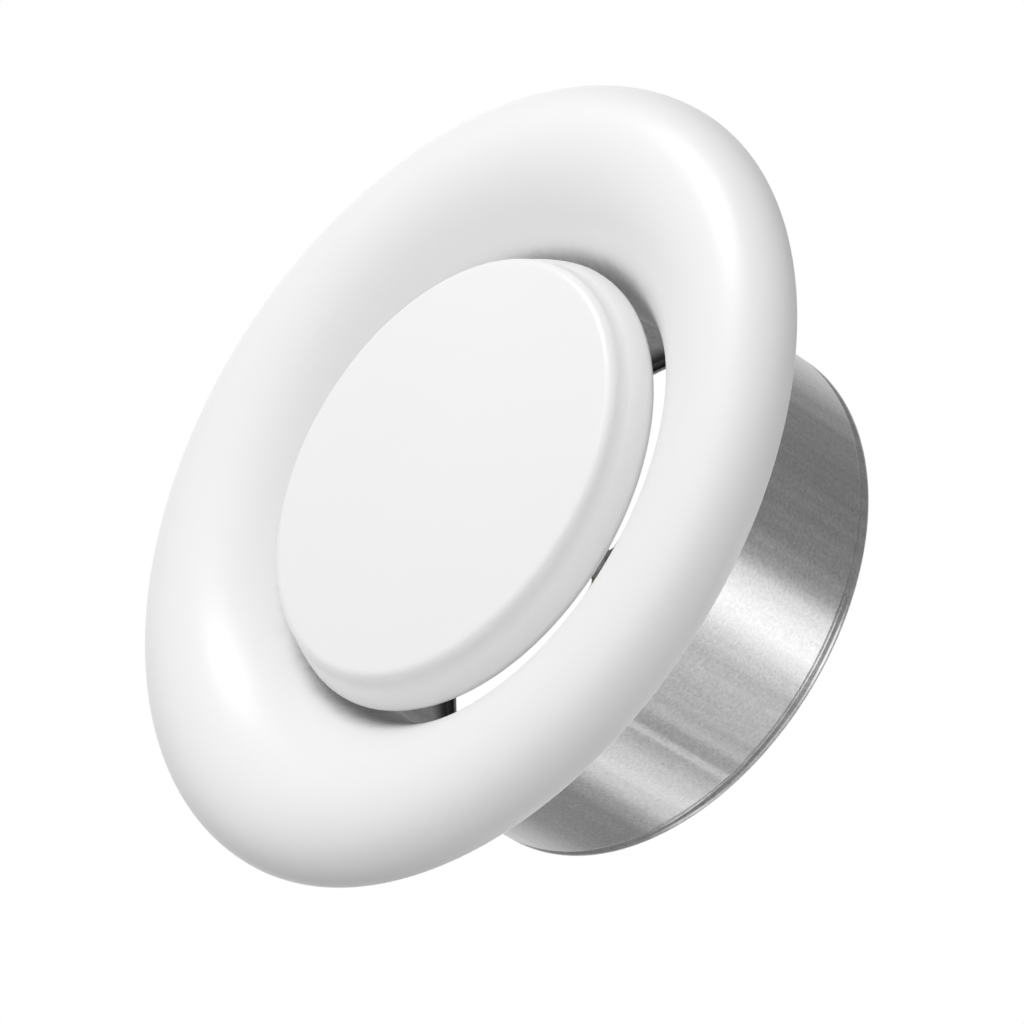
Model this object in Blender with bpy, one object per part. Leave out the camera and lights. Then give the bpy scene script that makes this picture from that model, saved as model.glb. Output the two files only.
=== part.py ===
"""Ceiling air diffuser: an adjustable disc valve in a duct collar.

Frame: +Z points up into the duct, -Z down into the room. The origin is on the
valve's axis, in the ceiling plane. Lengths are in metres.
"""
import math

import bmesh
import bpy
from mathutils import Matrix, Vector

MM = 0.001
GAP = 0.3 * MM                       # left between meshes that touch on the real object

# Collar that goes into the duct. Its radius is the size that the others build on.
COLLAR_RADIUS = 49.5 * MM
COLLAR_WALL = 0.8 * MM
COLLAR_LENGTH = 49.3 * MM
COLLAR_LIP = 1.2 * MM                # how far the rear edge is rolled inwards
FLANGE_WIDTH = 8.5 * MM
FLANGE_BEND = 1.5 * MM
FLANGE_HOLE_RADIUS = 2.1 * MM
FLANGE_HOLE_COUNT = 4
SEAM_ANGLE = math.radians(-67.3)
SEAM_WIDTH = 9.0 * MM
SEAM_STEP = 0.5 * MM

# Face ring: a bulged rim outside, a throat inside, and a flanged neck behind it.
RIM_OVERHANG = 25.5 * MM             # from the collar's outside to the rim's
RIM_ROLL_WIDTH = 12.0 * MM           # from the rim's outside in to the crest
RIM_SETBACK = 0.5 * MM               # the rim's edge stops just short of the ceiling
CREST_HEIGHT = 9.0 * MM              # how far the crest hangs below the ceiling
SPRING_ROOM = 8.7 * MM               # between the throat and the collar, for the clips
THROAT_Z = 17.0 * MM                 # where the slope has turned parallel to the axis
SLOPE_POWER = 1.9                    # 2 would make the slope a quarter ellipse; less is straighter
NECK_END_Z = 18.5 * MM
NECK_FLANGE_CLEARANCE = 1.2 * MM     # to the collar's wall
RING_SHEET = 1.0 * MM

# Foam gasket in the hollow of the rim.
GASKET_WIDTH = 7.5 * MM
GASKET_EDGE_INSET = 2.5 * MM         # from the rim's outside to the foam's outer wall

# Disc: a pressed front shell over a dished back plate.
DISC_OVERLAP = 2.4 * MM              # how much wider the disc is than the throat
DISC_EDGE_Z = 0.6 * MM               # level of the widest point
DISC_FACE_HEIGHT = 7.1 * MM          # from the widest point down to the face's edge
DISC_DOME = 1.1 * MM                 # how far the middle of the face hangs below its edge
DISC_ROLL = 1.0 * MM                 # bend radius round the face, at the middle of the sheet
DISC_WALL_LEAN = 0.2 * MM            # the short wall behind the face opens out by this much
DISC_SKIRT_WIDTH = 2.2 * MM
DISC_SKIRT_HEIGHT = 4.2 * MM
SKIRT_BEND_ACROSS = 0.6              # where the skirt's curve bends, as a share of its width
SKIRT_BEND_UP = 0.35                 # and of its height
DISC_BACK_HEIGHT = 1.2 * MM          # from the widest point up to the turned-in lip
DISC_BACK_INSET = 1.0 * MM
DISC_LIP_WIDTH = 2.5 * MM
DISC_SHEET = 0.8 * MM
PLATE_DISH_RADIUS = 15.0 * MM
PLATE_DISH_HEIGHT = 5.0 * MM
PLATE_DISH_SLOPE = 2.5               # width of the dish's slope over its height

# Spindle, its hub and its nuts (M6).
SPINDLE_RADIUS = 3.0 * MM
SPINDLE_GROOVE_DEPTH = 0.6 * MM
SPINDLE_TIP = 1.5 * MM               # stretch between the clip's groove and the tail end
SPINDLE_CHAMFER = 0.5 * MM
SPINDLE_FOOT = 2.0 * MM              # how far the spindle reaches in front of the dish
HUB_FLANGE_WIDTH = 3.5 * MM
HUB_FLANGE_THICKNESS = 1.2 * MM
HUB_WALL = 2.2 * MM
HUB_HEIGHT = 7.0 * MM
NUT_ACROSS_FLATS = 10.0 * MM
DISC_NUT_HEIGHT = 3.0 * MM
LOCK_NUT_HEIGHT = 4.5 * MM
WASHER_WIDTH = 2.7 * MM
WASHER_THICKNESS = 0.8 * MM
CLIP_WIDTH = 2.8 * MM
CLIP_THICKNESS = 0.8 * MM
CLIP_MOUTH = math.radians(70.0)

# How far the pieces move, which sets the spindle's length.
DISC_OPENING = 7.0 * MM
LOCK_NUT_TRAVEL = 2.5 * MM

# Bridge across the neck, with its bush and rivets.
BRIDGE_WIDTH = 12.0 * MM
BRIDGE_THICKNESS = 1.2 * MM
BRIDGE_HEIGHT = 21.2 * MM            # from the neck's flange up to the crossbar
BRIDGE_LEG_CLEARANCE = 0.4 * MM      # outside the neck's wall
BRIDGE_BEND = 2.0 * MM
BUSH_WALL = 0.7 * MM
BUSH_FLANGE_WIDTH = 1.8 * MM
BUSH_FLANGE_THICKNESS = 1.0 * MM
BUSH_PEEN_WIDTH = 1.2 * MM
BUSH_PEEN_THICKNESS = 0.7 * MM
RIVET_RADIUS = 0.9 * MM
RIVET_HEAD_WIDTH = 0.6 * MM
RIVET_HEAD_HEIGHT = 0.8 * MM
BRIDGE_RIVET_SPACING = 7.0 * MM

# Spring clips between the neck and the collar.
SPRING_COUNT = 3
SPRING_FIRST_ANGLE = math.radians(90.0)
SPRING_WIDTH = 9.0 * MM
SPRING_THICKNESS = 0.6 * MM
SPRING_HEIGHT = 15.2 * MM
SPRING_REACH_HEIGHT = 8.7 * MM       # level at which it presses on the collar
SPRING_BEND = 1.2 * MM               # radius between the foot and the leaf
SPRING_END_INSET = 3.6 * MM          # from the pressing point back towards the axis

ROUND_STEPS = 60
SMALL_STEPS = 20
ARC_STEPS = 6
SLOPE_STEPS = 8
DOME_STEPS = 5
SKIRT_STEPS = 4
LEAF_STEPS = 12
SHARP_ANGLE = math.radians(35.0)     # edges bent further than this stay crisp


def clear_scene():
    for thing in list(bpy.data.objects):
        bpy.data.objects.remove(thing)


def make_material(name, colour, roughness, metallic):
    material = bpy.data.materials.new(name)
    material.use_nodes = True
    shader = material.node_tree.nodes["Principled BSDF"]
    shader.inputs["Base Color"].default_value = (*colour, 1.0)
    shader.inputs["Roughness"].default_value = roughness
    shader.inputs["Metallic"].default_value = metallic
    return material


def arc(centre, radii, start, end, steps=ARC_STEPS, power=2.0):
    """Points (r, z) on an ellipse's arc; angles in degrees, 0 outwards and 90 up. A lower power flattens it."""
    points = []
    for step in range(steps + 1):
        angle = math.radians(start + (end - start) * step / steps)
        across = math.copysign(abs(math.cos(angle)) ** (2.0 / power), math.cos(angle))
        up = math.copysign(abs(math.sin(angle)) ** (2.0 / power), math.sin(angle))
        points.append((centre[0] + radii[0] * across, centre[1] + radii[1] * up))
    return points


def link(name, mesh, material, parent=None):
    mesh.materials.append(material)
    thing = bpy.data.objects.new(name, mesh)
    bpy.context.collection.objects.link(thing)
    thing.parent = parent
    mesh.shade_smooth()
    mesh.set_sharp_from_angle(angle=SHARP_ANGLE)
    return thing


def finish_mesh(name, bm):
    bmesh.ops.remove_doubles(bm, verts=bm.verts, dist=1e-6)
    bmesh.ops.dissolve_degenerate(bm, edges=bm.edges, dist=1e-7)
    bmesh.ops.recalc_face_normals(bm, faces=bm.faces)
    mesh = bpy.data.meshes.new(name)
    bm.to_mesh(mesh)
    bm.free()
    return mesh


def turned_mesh(name, outline, steps=ROUND_STEPS):
    """Turns a closed outline of (r, z) points about the Z axis."""
    bm = bmesh.new()
    verts = [bm.verts.new((r, 0.0, z)) for r, z in outline]
    edges = [bm.edges.new((verts[i - 1], verts[i])) for i in range(len(verts))]
    axis_edges = [e for e in edges if all(abs(v.co.x) < 1e-9 for v in e.verts)]
    for edge in axis_edges:
        bm.edges.remove(edge)
    bmesh.ops.spin(bm, geom=bm.verts[:] + bm.edges[:], cent=(0, 0, 0), axis=(0, 0, 1),
                   angle=2.0 * math.pi, steps=steps)
    return finish_mesh(name, bm)


def plate_mesh(name, outline, width):
    """Extrudes a closed outline of (x, z) points along Y, centred on Y = 0."""
    bm = bmesh.new()
    face = bm.faces.new([bm.verts.new((x, -width / 2, z)) for x, z in outline])
    grown = bmesh.ops.extrude_face_region(bm, geom=[face])
    moved = [item for item in grown["geom"] if isinstance(item, bmesh.types.BMVert)]
    bmesh.ops.translate(bm, verts=moved, vec=(0, width, 0))
    return finish_mesh(name, bm)


def prism_mesh(name, radius, low, high, sides):
    """A closed prism about the Z axis; radius is to its corners."""
    bm = bmesh.new()
    bmesh.ops.create_cone(bm, cap_ends=True, segments=sides, radius1=radius, radius2=radius,
                          depth=high - low)
    bmesh.ops.translate(bm, verts=bm.verts, vec=(0, 0, (low + high) / 2))
    return finish_mesh(name, bm)


def cut(thing, mesh, place=(0.0, 0.0, 0.0)):
    """Takes a cutter's shape out of an object and leaves the modifier on it."""
    cutter = bpy.data.objects.new(thing.name + "_cutter", mesh)
    cutter.location = place
    cutter.hide_render = True
    cutter.display_type = "WIRE"
    bpy.context.collection.objects.link(cutter)
    modifier = thing.modifiers.new("cut", "BOOLEAN")
    modifier.operation = "DIFFERENCE"
    modifier.object = cutter


def strip_outline(centreline, thickness):
    """A closed outline that follows a centreline of (x, z) points at a constant thickness."""
    left = []
    right = []
    for index, point in enumerate(centreline):
        before = Vector(centreline[max(index - 1, 0)])
        after = Vector(centreline[min(index + 1, len(centreline) - 1)])
        along = (after - before).normalized()
        side = Vector((-along.y, along.x)) * thickness / 2
        left.append(tuple(Vector(point) + side))
        right.append(tuple(Vector(point) - side))
    return left + right[::-1]


# Sizes that follow from the driving ones.
COLLAR_INNER_RADIUS = COLLAR_RADIUS - COLLAR_WALL
FLANGE_RADIUS = COLLAR_RADIUS + FLANGE_WIDTH
RIM_RADIUS = COLLAR_RADIUS + RIM_OVERHANG
CREST_RADIUS = RIM_RADIUS - RIM_ROLL_WIDTH
THROAT_RADIUS = COLLAR_INNER_RADIUS - SPRING_ROOM
NECK_OUTER_RADIUS = THROAT_RADIUS + RING_SHEET
NECK_FLANGE_RADIUS = COLLAR_INNER_RADIUS - NECK_FLANGE_CLEARANCE
SEAT_Z = NECK_END_Z + GAP                            # feet of the bridge and clips stand here
GASKET_OUTER_RADIUS = RIM_RADIUS - GASKET_EDGE_INSET
GASKET_INNER_RADIUS = GASKET_OUTER_RADIUS - GASKET_WIDTH
DISC_RADIUS = THROAT_RADIUS + DISC_OVERLAP
BORE_RADIUS = SPINDLE_RADIUS + GAP
HUB_RADIUS = BORE_RADIUS + HUB_WALL
HUB_FLANGE_RADIUS = HUB_RADIUS + HUB_FLANGE_WIDTH
BUSH_RADIUS = BORE_RADIUS + BUSH_WALL
BUSH_FLANGE_RADIUS = BUSH_RADIUS + BUSH_FLANGE_WIDTH
BUSH_PEEN_RADIUS = BUSH_RADIUS + BUSH_PEEN_WIDTH
RIVET_HEAD_RADIUS = RIVET_RADIUS + RIVET_HEAD_WIDTH
SPRING_REACH_Z = SEAT_Z + SPRING_REACH_HEIGHT
SPRING_END_Z = SEAT_Z + SPRING_HEIGHT
NUT_RADIUS = NUT_ACROSS_FLATS / 2 / math.cos(math.radians(30.0))
CROSSBAR_Z = SEAT_Z + BRIDGE_HEIGHT                  # underside of the bridge's crossbar
BUSH_TOP_Z = CROSSBAR_Z + BRIDGE_THICKNESS + GAP + BUSH_PEEN_THICKNESS
WASHER_Z = BUSH_TOP_Z + GAP
LOCK_NUT_Z = WASHER_Z + WASHER_THICKNESS + GAP
CLIP_Z = LOCK_NUT_Z + LOCK_NUT_HEIGHT + LOCK_NUT_TRAVEL + DISC_OPENING + GAP
SPINDLE_END_Z = CLIP_Z + CLIP_THICKNESS + GAP + SPINDLE_TIP
PLATE_Z = DISC_EDGE_Z + DISC_BACK_HEIGHT - 2 * DISC_SHEET - GAP
PLATE_TOP_Z = PLATE_Z + DISC_SHEET + PLATE_DISH_HEIGHT
HUB_Z = PLATE_TOP_Z + GAP
HUB_TOP_Z = HUB_Z + HUB_HEIGHT
DISC_NUT_Z = HUB_TOP_Z + GAP
BRIDGE_RIVET_RADIUS = NECK_FLANGE_RADIUS - RIVET_HEAD_RADIUS - 2 * GAP
SPRING_RIVET_RADIUS = NECK_OUTER_RADIUS + RIVET_HEAD_RADIUS + 4 * GAP
SPINDLE_START_Z = PLATE_Z + PLATE_DISH_HEIGHT - SPINDLE_FOOT


def bridge_rivet_places():
    """(x, y) of the rivets through the bridge's two feet."""
    half = BRIDGE_RIVET_SPACING / 2
    reach = BRIDGE_RIVET_RADIUS
    return [(reach, half), (reach, -half), (-reach, half), (-reach, -half)]


def spring_angles():
    return [SPRING_FIRST_ANGLE + 2 * math.pi * index / SPRING_COUNT for index in range(SPRING_COUNT)]


def spring_rivet_places():
    return [(SPRING_RIVET_RADIUS * math.cos(a), SPRING_RIVET_RADIUS * math.sin(a)) for a in spring_angles()]


def ring_skin(inset):
    """The ring's section from rim to throat, moved into the sheet by inset."""
    rim_centre = (CREST_RADIUS, -RIM_SETBACK)
    rim_radii = (RIM_RADIUS - CREST_RADIUS - inset, CREST_HEIGHT - RIM_SETBACK - inset)
    slope_centre = (CREST_RADIUS, THROAT_Z)
    slope_radii = (CREST_RADIUS - THROAT_RADIUS - inset, THROAT_Z + CREST_HEIGHT - inset)
    outside = arc(rim_centre, rim_radii, 0, -90)
    inside = arc(slope_centre, slope_radii, -90, -180, SLOPE_STEPS, SLOPE_POWER)
    return outside + inside[1:]


def make_face_ring(paint, parent):
    front = ring_skin(0.0)
    back = ring_skin(RING_SHEET)
    flange = [
        (THROAT_RADIUS, NECK_END_Z),
        (NECK_FLANGE_RADIUS, NECK_END_Z),
        (NECK_FLANGE_RADIUS, NECK_END_Z - RING_SHEET),
        (NECK_OUTER_RADIUS, NECK_END_Z - RING_SHEET),
    ]
    mesh = turned_mesh("face_ring", front + flange + back[::-1])
    ring = link("face_ring", mesh, paint, parent)
    hole_low = NECK_END_Z - 2 * RING_SHEET
    hole_high = NECK_END_Z + RING_SHEET
    for place in bridge_rivet_places() + spring_rivet_places():
        hole = prism_mesh("rivet_hole", RIVET_RADIUS + GAP, hole_low, hole_high, SMALL_STEPS // 2)
        cut(ring, hole, (place[0], place[1], 0.0))
    return ring


def make_rim_gasket(foam, parent):
    inset = RING_SHEET + GAP
    centre = (CREST_RADIUS, -RIM_SETBACK)
    radii = (RIM_RADIUS - CREST_RADIUS - inset, CREST_HEIGHT - RIM_SETBACK - inset)
    start = math.degrees(math.acos((GASKET_OUTER_RADIUS - centre[0]) / radii[0]))
    end = math.degrees(math.acos((GASKET_INNER_RADIUS - centre[0]) / radii[0]))
    under = arc(centre, radii, -start, -end)
    outline = [(GASKET_INNER_RADIUS, 0.0), (GASKET_OUTER_RADIUS, 0.0)] + under
    return link("rim_gasket", turned_mesh("rim_gasket", outline), foam, parent)


def make_mounting_collar(zinc):
    """Tube with a flange in front, a rolled-in rear edge and a lap seam."""
    rear = COLLAR_LENGTH
    bend = FLANGE_BEND
    lip_centre = (COLLAR_RADIUS - COLLAR_LIP, rear - COLLAR_LIP)
    lip_outer = arc(lip_centre, (COLLAR_LIP, COLLAR_LIP), 90, 0, 4)
    lip_inner = arc(lip_centre, (COLLAR_LIP - COLLAR_WALL, COLLAR_LIP - COLLAR_WALL), 0, 90, 4)
    bend_centre = (COLLAR_RADIUS + bend, bend)
    outside_bend = arc(bend_centre, (bend, bend), 180, 270, 4)
    inside_bend = arc(bend_centre, (bend + COLLAR_WALL, bend + COLLAR_WALL), 270, 180, 4)
    flange_edge = [(FLANGE_RADIUS, 0.0), (FLANGE_RADIUS, -COLLAR_WALL)]
    outline = flange_edge + inside_bend + lip_inner + lip_outer + outside_bend
    mesh = turned_mesh("mounting_collar", outline, steps=ROUND_STEPS)
    raise_seam(mesh)
    collar = link("mounting_collar", mesh, zinc)
    for index in range(FLANGE_HOLE_COUNT):
        angle = math.radians(45.0) + 2 * math.pi * index / FLANGE_HOLE_COUNT
        middle = COLLAR_RADIUS + FLANGE_BEND + (FLANGE_WIDTH - FLANGE_BEND) / 2
        hole = prism_mesh("screw_hole", FLANGE_HOLE_RADIUS, -2 * COLLAR_WALL, COLLAR_WALL, SMALL_STEPS // 2)
        cut(collar, hole, (middle * math.cos(angle), middle * math.sin(angle), 0.0))
    return collar


def raise_seam(mesh):
    """Lifts a narrow lengthwise strip of the tube's outside: the lap of the rolled sheet."""
    along = Vector((math.cos(SEAM_ANGLE), math.sin(SEAM_ANGLE), 0.0))
    for vertex in mesh.vertices:
        flat = Vector((vertex.co.x, vertex.co.y, 0.0))
        off_centre = flat.cross(along).length
        on_tube = abs(flat.length - COLLAR_RADIUS) < COLLAR_WALL / 4 and flat.dot(along) > 0
        if on_tube and off_centre < SEAM_WIDTH / 2:
            vertex.co += flat.normalized() * SEAM_STEP


def make_bridge(steel, parent):
    """U-shaped strap: two feet on the neck's flange, two legs and a crossbar."""
    half = BRIDGE_THICKNESS / 2
    foot_z = SEAT_Z + half
    top_z = CROSSBAR_Z + half
    leg_x = NECK_OUTER_RADIUS + BRIDGE_LEG_CLEARANCE + half
    toe_x = NECK_FLANGE_RADIUS - GAP
    bend = BRIDGE_BEND
    heel = arc((leg_x + bend / 2, foot_z + bend / 2), (bend / 2, bend / 2), 270, 180, 3)
    shoulder = arc((leg_x - bend, top_z - bend), (bend, bend), 0, 90, 4)
    right = [(toe_x, foot_z)] + heel + shoulder
    left = [(-x, z) for x, z in right[::-1]]
    mesh = plate_mesh("bridge", strip_outline(right + left, BRIDGE_THICKNESS), BRIDGE_WIDTH)
    bridge = link("bridge", mesh, steel, parent)
    bush_hole = prism_mesh("bush_hole", BUSH_RADIUS + GAP, CROSSBAR_Z - MM,
                           CROSSBAR_Z + BRIDGE_THICKNESS + MM, SMALL_STEPS)
    cut(bridge, bush_hole)
    for place in bridge_rivet_places():
        hole = prism_mesh("foot_hole", RIVET_RADIUS + GAP, SEAT_Z - MM, SEAT_Z + BRIDGE_THICKNESS + MM,
                          SMALL_STEPS // 2)
        cut(bridge, hole, (place[0], place[1], 0.0))
    return bridge


def make_bridge_bush(brass, parent):
    flange_low = CROSSBAR_Z - GAP - BUSH_FLANGE_THICKNESS
    peen_low = BUSH_TOP_Z - BUSH_PEEN_THICKNESS
    outline = [
        (BORE_RADIUS, flange_low),
        (BUSH_FLANGE_RADIUS, flange_low),
        (BUSH_FLANGE_RADIUS, CROSSBAR_Z - GAP),
        (BUSH_RADIUS, CROSSBAR_Z - GAP),
        (BUSH_RADIUS, peen_low),
        (BUSH_PEEN_RADIUS, peen_low),
        (BUSH_PEEN_RADIUS, BUSH_TOP_Z),
        (BORE_RADIUS, BUSH_TOP_Z),
    ]
    return link("bridge_bush", turned_mesh("bridge_bush", outline, SMALL_STEPS), brass, parent)


def rivet_mesh(name, grip_low, grip_high):
    """A rivet with two domed heads that holds the sheets between two levels."""
    low_seat = grip_low - GAP
    high_seat = grip_high + GAP
    head = (RIVET_HEAD_RADIUS, RIVET_HEAD_HEIGHT)
    low_head = arc((0.0, low_seat), head, 270, 360, 3)
    high_head = arc((0.0, high_seat), head, 0, 90, 3)
    shank = [(RIVET_RADIUS, low_seat), (RIVET_RADIUS, high_seat)]
    return turned_mesh(name, low_head + shank + high_head, SMALL_STEPS // 2)


def make_rivets(steel, parent):
    low = NECK_END_Z - RING_SHEET
    groups = [
        ("bridge_rivet", bridge_rivet_places(), SEAT_Z + BRIDGE_THICKNESS),
        ("clip_rivet", spring_rivet_places(), SEAT_Z + SPRING_THICKNESS),
    ]
    for name, places, high in groups:
        for index, place in enumerate(places, start=1):
            rivet = link(f"{name}_{index}", rivet_mesh(name, low, high), steel, parent)
            rivet.location = (place[0], place[1], 0.0)


def make_spring_clips(spring_steel, parent):
    """Bowed leaves; each stands on the neck's flange and presses on the collar's wall."""
    half = SPRING_THICKNESS / 2
    foot_z = SEAT_Z + half
    reach = COLLAR_INNER_RADIUS - GAP - half
    bend = SPRING_BEND
    bend_x = SPRING_RIVET_RADIUS + RIVET_HEAD_RADIUS + GAP
    toe_x = NECK_OUTER_RADIUS + 2 * GAP
    bend_arc = arc((bend_x, foot_z + bend), (bend, bend), 270, 345, 4)
    start_x, start_z = bend_arc[-1]
    low_fall = (reach - start_x) / (SPRING_REACH_Z - start_z) ** 2
    high_fall = SPRING_END_INSET / (SPRING_END_Z - SPRING_REACH_Z) ** 2
    bow = []
    for step in range(1, LEAF_STEPS + 1):
        z = start_z + (SPRING_END_Z - start_z) * step / LEAF_STEPS
        fall = low_fall if z < SPRING_REACH_Z else high_fall
        bow.append((reach - fall * (z - SPRING_REACH_Z) ** 2, z))
    outline = strip_outline([(toe_x, foot_z)] + bend_arc + bow, SPRING_THICKNESS)
    for index, angle in enumerate(spring_angles(), start=1):
        name = f"spring_clip_{index}"
        clip = link(name, plate_mesh(name, outline, SPRING_WIDTH), spring_steel, parent)
        clip.rotation_euler = (0.0, 0.0, angle)
        hole = prism_mesh("clip_hole", RIVET_RADIUS + GAP, SEAT_Z - MM, SEAT_Z + 2 * MM, SMALL_STEPS // 2)
        place = (SPRING_RIVET_RADIUS * math.cos(angle), SPRING_RIVET_RADIUS * math.sin(angle), 0.0)
        cut(clip, hole, place)


def disc_line():
    """Middle of the front shell's sheet: domed face, short wall, flared skirt, turned-in lip."""
    half = DISC_SHEET / 2
    widest = (DISC_RADIUS - half, DISC_EDGE_Z)
    foot = (widest[0] - DISC_SKIRT_WIDTH, widest[1] - DISC_SKIRT_HEIGHT)
    bend = (foot[0] + SKIRT_BEND_ACROSS * DISC_SKIRT_WIDTH, foot[1] + SKIRT_BEND_UP * DISC_SKIRT_HEIGHT)
    face_z = DISC_EDGE_Z - DISC_FACE_HEIGHT + half
    dome_radius = foot[0] - DISC_WALL_LEAN - DISC_ROLL
    points = []
    for step in range(DOME_STEPS):
        share = step / DOME_STEPS
        points.append((dome_radius * share, face_z - DISC_DOME * (1 - share ** 2)))
    points += arc((dome_radius, face_z + DISC_ROLL), (DISC_ROLL, DISC_ROLL), -90, -15, 3)
    for step in range(SKIRT_STEPS):
        share = step / SKIRT_STEPS
        weights = ((1 - share) ** 2, 2 * share * (1 - share), share ** 2)
        r = weights[0] * foot[0] + weights[1] * bend[0] + weights[2] * widest[0]
        z = weights[0] * foot[1] + weights[1] * bend[1] + weights[2] * widest[1]
        points.append((r, z))
    back = (DISC_BACK_INSET - half, DISC_BACK_HEIGHT - half)
    points += arc((DISC_RADIUS - DISC_BACK_INSET, DISC_EDGE_Z), back, 0, 90, 3)
    lip = points[-1]
    points.append((lip[0] - DISC_LIP_WIDTH, lip[1]))
    return points


def make_disc(paint, zinc, parent):
    """Front shell and dished back plate."""
    outline = strip_outline(disc_line(), DISC_SHEET)
    outline[0] = (0.0, outline[0][1])                    # both skins meet the axis
    outline[-1] = (0.0, outline[-1][1])
    link("disc_front", turned_mesh("disc_front", outline), paint, parent)

    edge = DISC_RADIUS - DISC_SHEET - 3 * GAP
    slope_start = PLATE_DISH_RADIUS + PLATE_DISH_SLOPE * PLATE_DISH_HEIGHT
    high = PLATE_Z + PLATE_DISH_HEIGHT
    outline = [
        (BORE_RADIUS, high),
        (PLATE_DISH_RADIUS, high),
        (slope_start, PLATE_Z),
        (edge, PLATE_Z),
        (edge, PLATE_Z + DISC_SHEET),
        (slope_start, PLATE_Z + DISC_SHEET),
        (PLATE_DISH_RADIUS, high + DISC_SHEET),
        (BORE_RADIUS, high + DISC_SHEET),
    ]
    link("disc_back", turned_mesh("disc_back", outline), zinc, parent)


def make_disc_hub(steel, parent):
    outline = [
        (BORE_RADIUS, HUB_Z),
        (HUB_FLANGE_RADIUS, HUB_Z),
        (HUB_FLANGE_RADIUS, HUB_Z + HUB_FLANGE_THICKNESS),
        (HUB_RADIUS, HUB_Z + HUB_FLANGE_THICKNESS),
        (HUB_RADIUS, HUB_TOP_Z),
        (BORE_RADIUS, HUB_TOP_Z),
    ]
    return link("disc_hub", turned_mesh("disc_hub", outline, SMALL_STEPS), steel, parent)


def make_spindle(steel, parent):
    chamfer = SPINDLE_CHAMFER
    groove_radius = SPINDLE_RADIUS - SPINDLE_GROOVE_DEPTH
    groove_low = CLIP_Z - GAP
    groove_high = CLIP_Z + CLIP_THICKNESS + GAP
    outline = [
        (0.0, SPINDLE_START_Z),
        (SPINDLE_RADIUS - chamfer, SPINDLE_START_Z),
        (SPINDLE_RADIUS, SPINDLE_START_Z + chamfer),
        (SPINDLE_RADIUS, groove_low),
        (groove_radius, groove_low),
        (groove_radius, groove_high),
        (SPINDLE_RADIUS, groove_high),
        (SPINDLE_RADIUS, SPINDLE_END_Z - chamfer),
        (SPINDLE_RADIUS - chamfer, SPINDLE_END_Z),
        (0.0, SPINDLE_END_Z),
    ]
    return link("spindle", turned_mesh("spindle", outline, SMALL_STEPS), steel, parent)


def make_nut(name, low, height, steel, parent):
    nut = link(name, prism_mesh(name, NUT_RADIUS, low, low + height, 6), steel, parent)
    cut(nut, prism_mesh("nut_bore", BORE_RADIUS, low - MM, low + height + MM, SMALL_STEPS))
    return nut


def make_lock_washer(steel, parent):
    top = WASHER_Z + WASHER_THICKNESS
    outer = BORE_RADIUS + WASHER_WIDTH
    outline = [(BORE_RADIUS, WASHER_Z), (outer, WASHER_Z), (outer, top), (BORE_RADIUS, top)]
    return link("lock_washer", turned_mesh("lock_washer", outline, SMALL_STEPS), steel, parent)


def make_end_stop_clip(steel, parent):
    """Open ring in the spindle's groove; its mouth faces +X."""
    inner = SPINDLE_RADIUS - SPINDLE_GROOVE_DEPTH + GAP
    outer = inner + CLIP_WIDTH
    start = math.degrees(CLIP_MOUTH / 2)
    outer_arc = arc((0.0, 0.0), (outer, outer), start, 360 - start, SMALL_STEPS)
    inner_arc = arc((0.0, 0.0), (inner, inner), 360 - start, start, SMALL_STEPS)
    mesh = plate_mesh("end_stop_clip", outer_arc + inner_arc, CLIP_THICKNESS)
    mesh.transform(Matrix.Rotation(math.radians(90.0), 4, "X"))
    mesh.transform(Matrix.Translation((0.0, 0.0, CLIP_Z + CLIP_THICKNESS / 2)))
    return link("end_stop_clip", mesh, steel, parent)


def make_pivot(name, parent=None):
    """An empty on the valve's axis that carries one moving body."""
    pivot = bpy.data.objects.new(name, None)
    bpy.context.collection.objects.link(pivot)
    pivot.parent = parent
    return pivot


def build():
    clear_scene()
    paint = make_material("white_paint", (0.86, 0.86, 0.86), 0.35, 0.0)
    zinc = make_material("galvanised_steel", (0.55, 0.55, 0.56), 0.38, 1.0)
    steel = make_material("plated_steel", (0.60, 0.60, 0.62), 0.30, 1.0)
    spring_steel = make_material("spring_steel", (0.35, 0.35, 0.37), 0.35, 1.0)
    brass = make_material("brass", (0.72, 0.55, 0.25), 0.35, 1.0)
    foam = make_material("grey_foam", (0.12, 0.12, 0.12), 0.95, 0.0)

    housing = make_pivot("housing_slide")
    travel = make_pivot("disc_travel", housing)
    disc = make_pivot("disc_turn", travel)
    nut_travel = make_pivot("lock_nut_travel", housing)
    nut_turn = make_pivot("lock_nut_turn", nut_travel)

    make_mounting_collar(zinc)
    make_face_ring(paint, housing)
    make_rim_gasket(foam, housing)
    make_bridge(zinc, housing)
    make_bridge_bush(brass, housing)
    make_rivets(steel, housing)
    make_spring_clips(spring_steel, housing)
    make_end_stop_clip(spring_steel, travel)
    make_disc(paint, zinc, disc)
    make_disc_hub(steel, disc)
    make_nut("disc_nut", DISC_NUT_Z, DISC_NUT_HEIGHT, steel, disc)
    make_spindle(steel, disc)
    make_lock_washer(steel, nut_travel)
    make_nut("lock_nut", LOCK_NUT_Z, LOCK_NUT_HEIGHT, steel, nut_turn)


build()
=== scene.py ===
# %% [markdown]
# # A ceiling air diffuser, built around its CAD frame
# This is the round valve that closes the end of a duct in a ceiling. A pressed steel ring covers the
# edge of the hole, a disc on a threaded spindle throttles the air, and a galvanised collar holds it
# all in the duct. The CAD model gives the places and the moving bodies. This script adds the finish:
# finer sheet edges, threads, seams, paint and zinc.

# %% Load the frame
import math

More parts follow.
